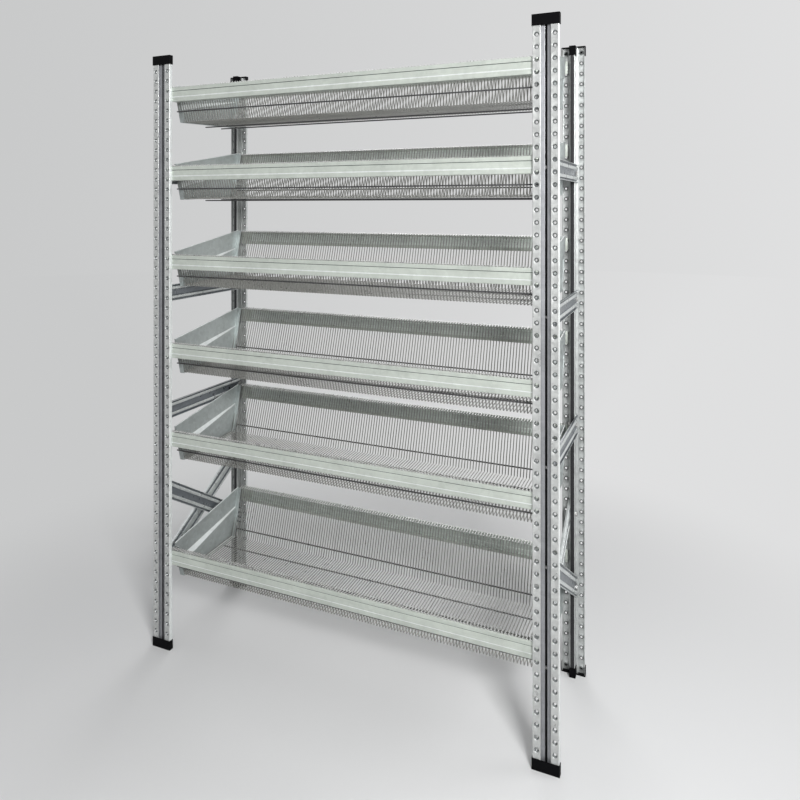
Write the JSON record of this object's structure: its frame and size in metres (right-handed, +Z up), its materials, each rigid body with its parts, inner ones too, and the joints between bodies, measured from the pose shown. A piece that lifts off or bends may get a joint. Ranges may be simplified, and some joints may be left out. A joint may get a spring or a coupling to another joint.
{
  "type": "wire shelving rack",
  "caption": "Boltless shelving bay: slotted T-section uprights and stepped beams carry deep wire baskets with sheet ends, tipped forward by a higher rear beam.",
  "frame": {"origin": "on the floor under the middle of the bay, between the four uprights", "axes": "X runs along the bay from left to right as seen from the front, +Y goes from the front to the back, +Z is up"},
  "size_m": [1.322, 0.424, 1.926],
  "materials": {
    "upright_steel": "bright galvanised sheet, lightly spangled",
    "beam_steel": "galvanised sheet, pale grey green",
    "panel_steel": "galvanised sheet, blue grey",
    "brace_steel": "galvanised sheet, ribbed",
    "bolt_steel": "zinc plated",
    "wire": "zinc plated wire",
    "black_plastic": "moulded, fine grain"
  },
  "bodies": {
    "frame": {"upright_front_left": "upright_steel", "foot_cap_front_left": "black_plastic", "top_cap_front_left": "black_plastic", "upright_front_right": "upright_steel", "foot_cap_front_right": "black_plastic", "top_cap_front_right": "black_plastic", "upright_rear_left": "upright_steel", "foot_cap_rear_left": "black_plastic", "top_cap_rear_left": "black_plastic", "upright_rear_right": "upright_steel", "foot_cap_rear_right": "black_plastic", "top_cap_rear_right": "black_plastic", "front_beam_1": "beam_steel", "rear_beam_1": "beam_steel", "front_beam_2": "beam_steel", "rear_beam_2": "beam_steel", "front_beam_3": "beam_steel", "rear_beam_3": "beam_steel", "front_beam_4": "beam_steel", "rear_beam_4": "beam_steel", "front_beam_5": "beam_steel", "rear_beam_5": "beam_steel", "front_beam_6": "beam_steel", "rear_beam_6": "beam_steel", "lower_brace_left": "brace_steel", "middle_brace_left": "brace_steel", "upper_brace_left": "brace_steel", "rising_brace_left": "brace_steel", "falling_brace_left": "brace_steel", "brace_bolts_left": "bolt_steel", "lower_brace_right": "brace_steel", "middle_brace_right": "brace_steel", "upper_brace_right": "brace_steel", "rising_brace_right": "brace_steel", "falling_brace_right": "brace_steel", "brace_bolts_right": "bolt_steel"},
    "basket_1": {"basket_1_mesh": "wire", "basket_1_left_panel": "panel_steel", "basket_1_right_panel": "panel_steel"},
    "basket_2": {"basket_2_mesh": "wire", "basket_2_left_panel": "panel_steel", "basket_2_right_panel": "panel_steel"},
    "basket_3": {"basket_3_mesh": "wire", "basket_3_left_panel": "panel_steel", "basket_3_right_panel": "panel_steel"},
    "basket_4": {"basket_4_mesh": "wire", "basket_4_left_panel": "panel_steel", "basket_4_right_panel": "panel_steel"},
    "basket_5": {"basket_5_mesh": "wire", "basket_5_left_panel": "panel_steel", "basket_5_right_panel": "panel_steel"},
    "basket_6": {"basket_6_mesh": "wire", "basket_6_left_panel": "panel_steel", "basket_6_right_panel": "panel_steel"}
  },
  "joints": [
    {"name": "basket_1_lift", "type": "slide", "parent": "frame", "child": "basket_1", "axis": [0, 0, 1], "range_m": [0, 0.15]},
    {"name": "basket_2_lift", "type": "slide", "parent": "frame", "child": "basket_2", "axis": [0, 0, 1], "range_m": [0, 0.07]},
    {"name": "basket_3_lift", "type": "slide", "parent": "frame", "child": "basket_3", "axis": [0, 0, 1], "range_m": [0, 0.07]},
    {"name": "basket_4_lift", "type": "slide", "parent": "frame", "child": "basket_4", "axis": [0, 0, 1], "range_m": [0, 0.07]},
    {"name": "basket_5_lift", "type": "slide", "parent": "frame", "child": "basket_5", "axis": [0, 0, 1], "range_m": [0, 0.07]},
    {"name": "basket_6_lift", "type": "slide", "parent": "frame", "child": "basket_6", "axis": [0, 0, 1], "range_m": [0, 0.07]}
  ]
}
